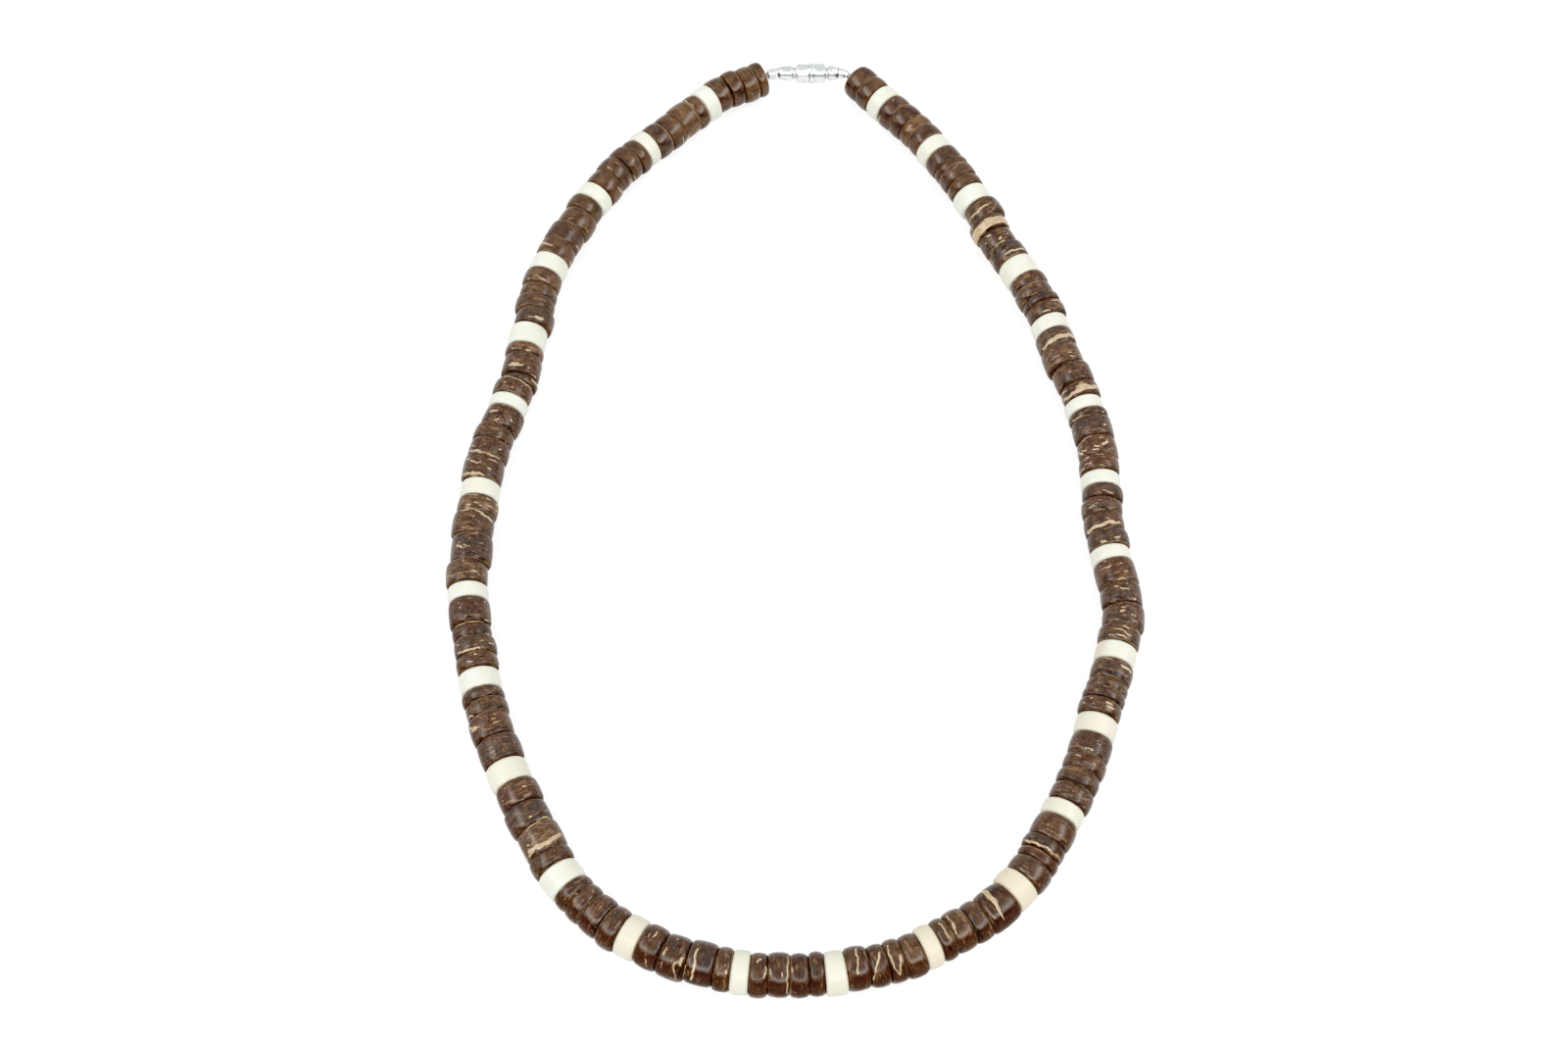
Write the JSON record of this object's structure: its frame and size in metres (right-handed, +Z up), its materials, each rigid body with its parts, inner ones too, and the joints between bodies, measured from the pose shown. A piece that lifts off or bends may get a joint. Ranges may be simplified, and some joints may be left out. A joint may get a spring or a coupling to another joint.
{
  "type": "coconut shell necklace",
  "caption": "Closed string of polished brown coconut shell disks in short stacks, each stack parted by one cream disk bead, fastened by a small silver barrel screw clasp.",
  "frame": {"origin": "centre of the loop's bounding box, on the surface that the necklace lies on", "axes": "+Z up off the surface, +Y from the bottom of the loop towards the clasp, +X to the right with the clasp at the far side"},
  "size_m": [0.1251, 0.1997, 0.0074],
  "materials": {
    "coconut_shell": "polished coconut shell, tan fibres and specks",
    "cream_shell": "satin ivory",
    "nylon_thread": "dark twisted nylon",
    "clasp_metal": "silver plated, bright",
    "crimp_metal": "silver plated, bright"
  },
  "bodies": {
    "root": {"coco_run_01": "coconut_shell", "coco_run_02": "coconut_shell", "coco_run_03": "coconut_shell", "coco_run_04": "coconut_shell", "coco_run_05": "coconut_shell", "coco_run_06": "coconut_shell", "coco_run_07": "coconut_shell", "coco_run_08": "coconut_shell", "coco_run_09": "coconut_shell", "coco_run_10": "coconut_shell", "coco_run_11": "coconut_shell", "coco_run_12": "coconut_shell", "coco_run_13": "coconut_shell", "coco_run_14": "coconut_shell", "coco_run_15": "coconut_shell", "coco_run_16": "coconut_shell", "coco_run_17": "coconut_shell", "coco_run_18": "coconut_shell", "coco_run_19": "coconut_shell", "coco_run_20": "coconut_shell", "coco_run_21": "coconut_shell", "coco_run_22": "coconut_shell", "coco_run_23": "coconut_shell", "coco_run_24": "coconut_shell", "coco_run_25": "coconut_shell", "coco_run_26": "coconut_shell", "coco_run_27": "coconut_shell", "coco_run_28": "coconut_shell", "white_bead_01": "cream_shell", "white_bead_02": "cream_shell", "white_bead_03": "cream_shell", "white_bead_04": "cream_shell", "white_bead_05": "cream_shell", "white_bead_06": "cream_shell", "white_bead_07": "cream_shell", "white_bead_08": "cream_shell", "white_bead_09": "cream_shell", "white_bead_10": "cream_shell", "white_bead_11": "cream_shell", "white_bead_12": "cream_shell", "white_bead_13": "cream_shell", "white_bead_14": "cream_shell", "white_bead_15": "cream_shell", "white_bead_16": "cream_shell", "white_bead_17": "cream_shell", "white_bead_18": "cream_shell", "white_bead_19": "cream_shell", "white_bead_20": "cream_shell", "white_bead_21": "cream_shell", "white_bead_22": "cream_shell", "white_bead_23": "cream_shell", "white_bead_24": "cream_shell", "white_bead_25": "cream_shell", "white_bead_26": "cream_shell", "white_bead_27": "cream_shell", "thread": "nylon_thread", "clasp_half_left": "clasp_metal", "clasp_half_right": "clasp_metal", "crimp_left": "crimp_metal", "crimp_right": "crimp_metal"}
  },
  "joints": []
}
